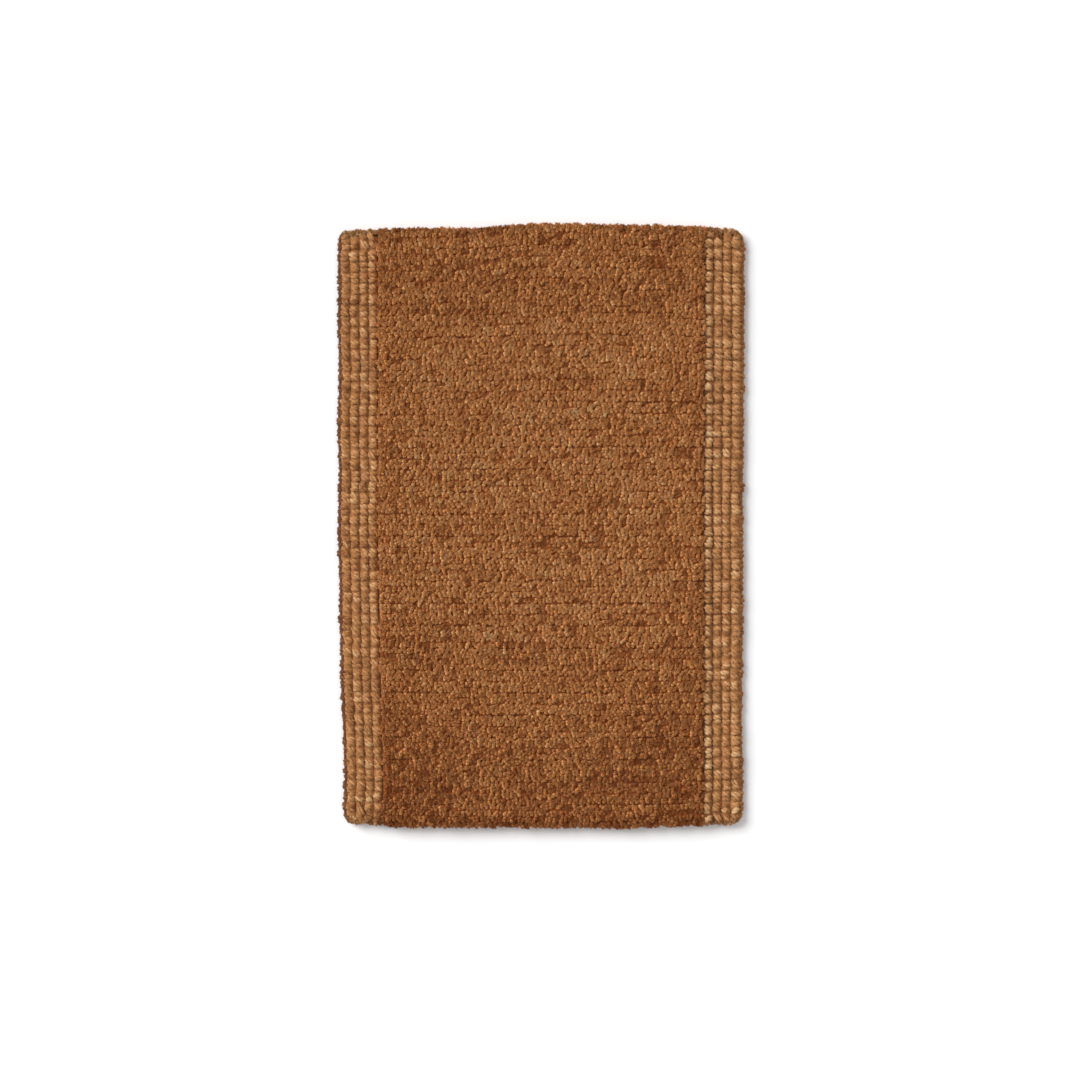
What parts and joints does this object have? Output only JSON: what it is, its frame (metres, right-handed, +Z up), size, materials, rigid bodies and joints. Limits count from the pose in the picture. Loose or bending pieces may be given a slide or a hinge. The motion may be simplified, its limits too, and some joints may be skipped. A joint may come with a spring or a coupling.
{
  "type": "door mat",
  "caption": "Rectangular woven coir door mat with a brushed cut pile field and a ribbed border of uncut loops down both long sides.",
  "frame": {"origin": "centre of the underside, on the floor", "axes": "+Z up out of the pile, +X across the mat, +Y along its length"},
  "size_m": [0.6, 0.8896, 0.024],
  "materials": {
    "coir_pile": "brushed cut coir fibre, matt",
    "coir_loops": "uncut two-ply coir yarn, matt",
    "coir_selvedge": "two-ply coir cord, matt",
    "coir_chain": "hard-twisted coir yarn, matt",
    "coir_weft": "coir yarn, matt",
    "coir_hem": "bundled coir yarn, matt",
    "coir_twine": "thin coir twine, matt"
  },
  "bodies": {
    "root": {"chain_over": "coir_chain", "chain_under": "coir_chain", "end_hem_far": "coir_hem", "end_hem_near": "coir_hem", "ground_wefts": "coir_weft", "hem_lashing_far": "coir_twine", "hem_lashing_near": "coir_twine", "loop_column_left_1": "coir_loops", "loop_column_left_2": "coir_loops", "loop_column_left_3": "coir_loops", "loop_column_left_4": "coir_loops", "loop_column_right_1": "coir_loops", "loop_column_right_2": "coir_loops", "loop_column_right_3": "coir_loops", "loop_column_right_4": "coir_loops", "pile_band_01": "coir_pile", "pile_band_02": "coir_pile", "pile_band_03": "coir_pile", "pile_band_04": "coir_pile", "pile_band_05": "coir_pile", "pile_band_06": "coir_pile", "pile_band_07": "coir_pile", "pile_band_08": "coir_pile", "pile_band_09": "coir_pile", "pile_band_10": "coir_pile", "pile_band_11": "coir_pile", "pile_band_12": "coir_pile", "pile_band_13": "coir_pile", "pile_band_14": "coir_pile", "pile_band_15": "coir_pile", "pile_band_16": "coir_pile", "pile_band_17": "coir_pile", "pile_band_18": "coir_pile", "pile_band_19": "coir_pile", "pile_band_20": "coir_pile", "pile_band_21": "coir_pile", "pile_band_22": "coir_pile", "pile_band_23": "coir_pile", "pile_band_24": "coir_pile", "pile_band_25": "coir_pile", "pile_band_26": "coir_pile", "pile_band_27": "coir_pile", "selvedge_cord_left": "coir_selvedge", "selvedge_cord_right": "coir_selvedge"}
  },
  "joints": []
}
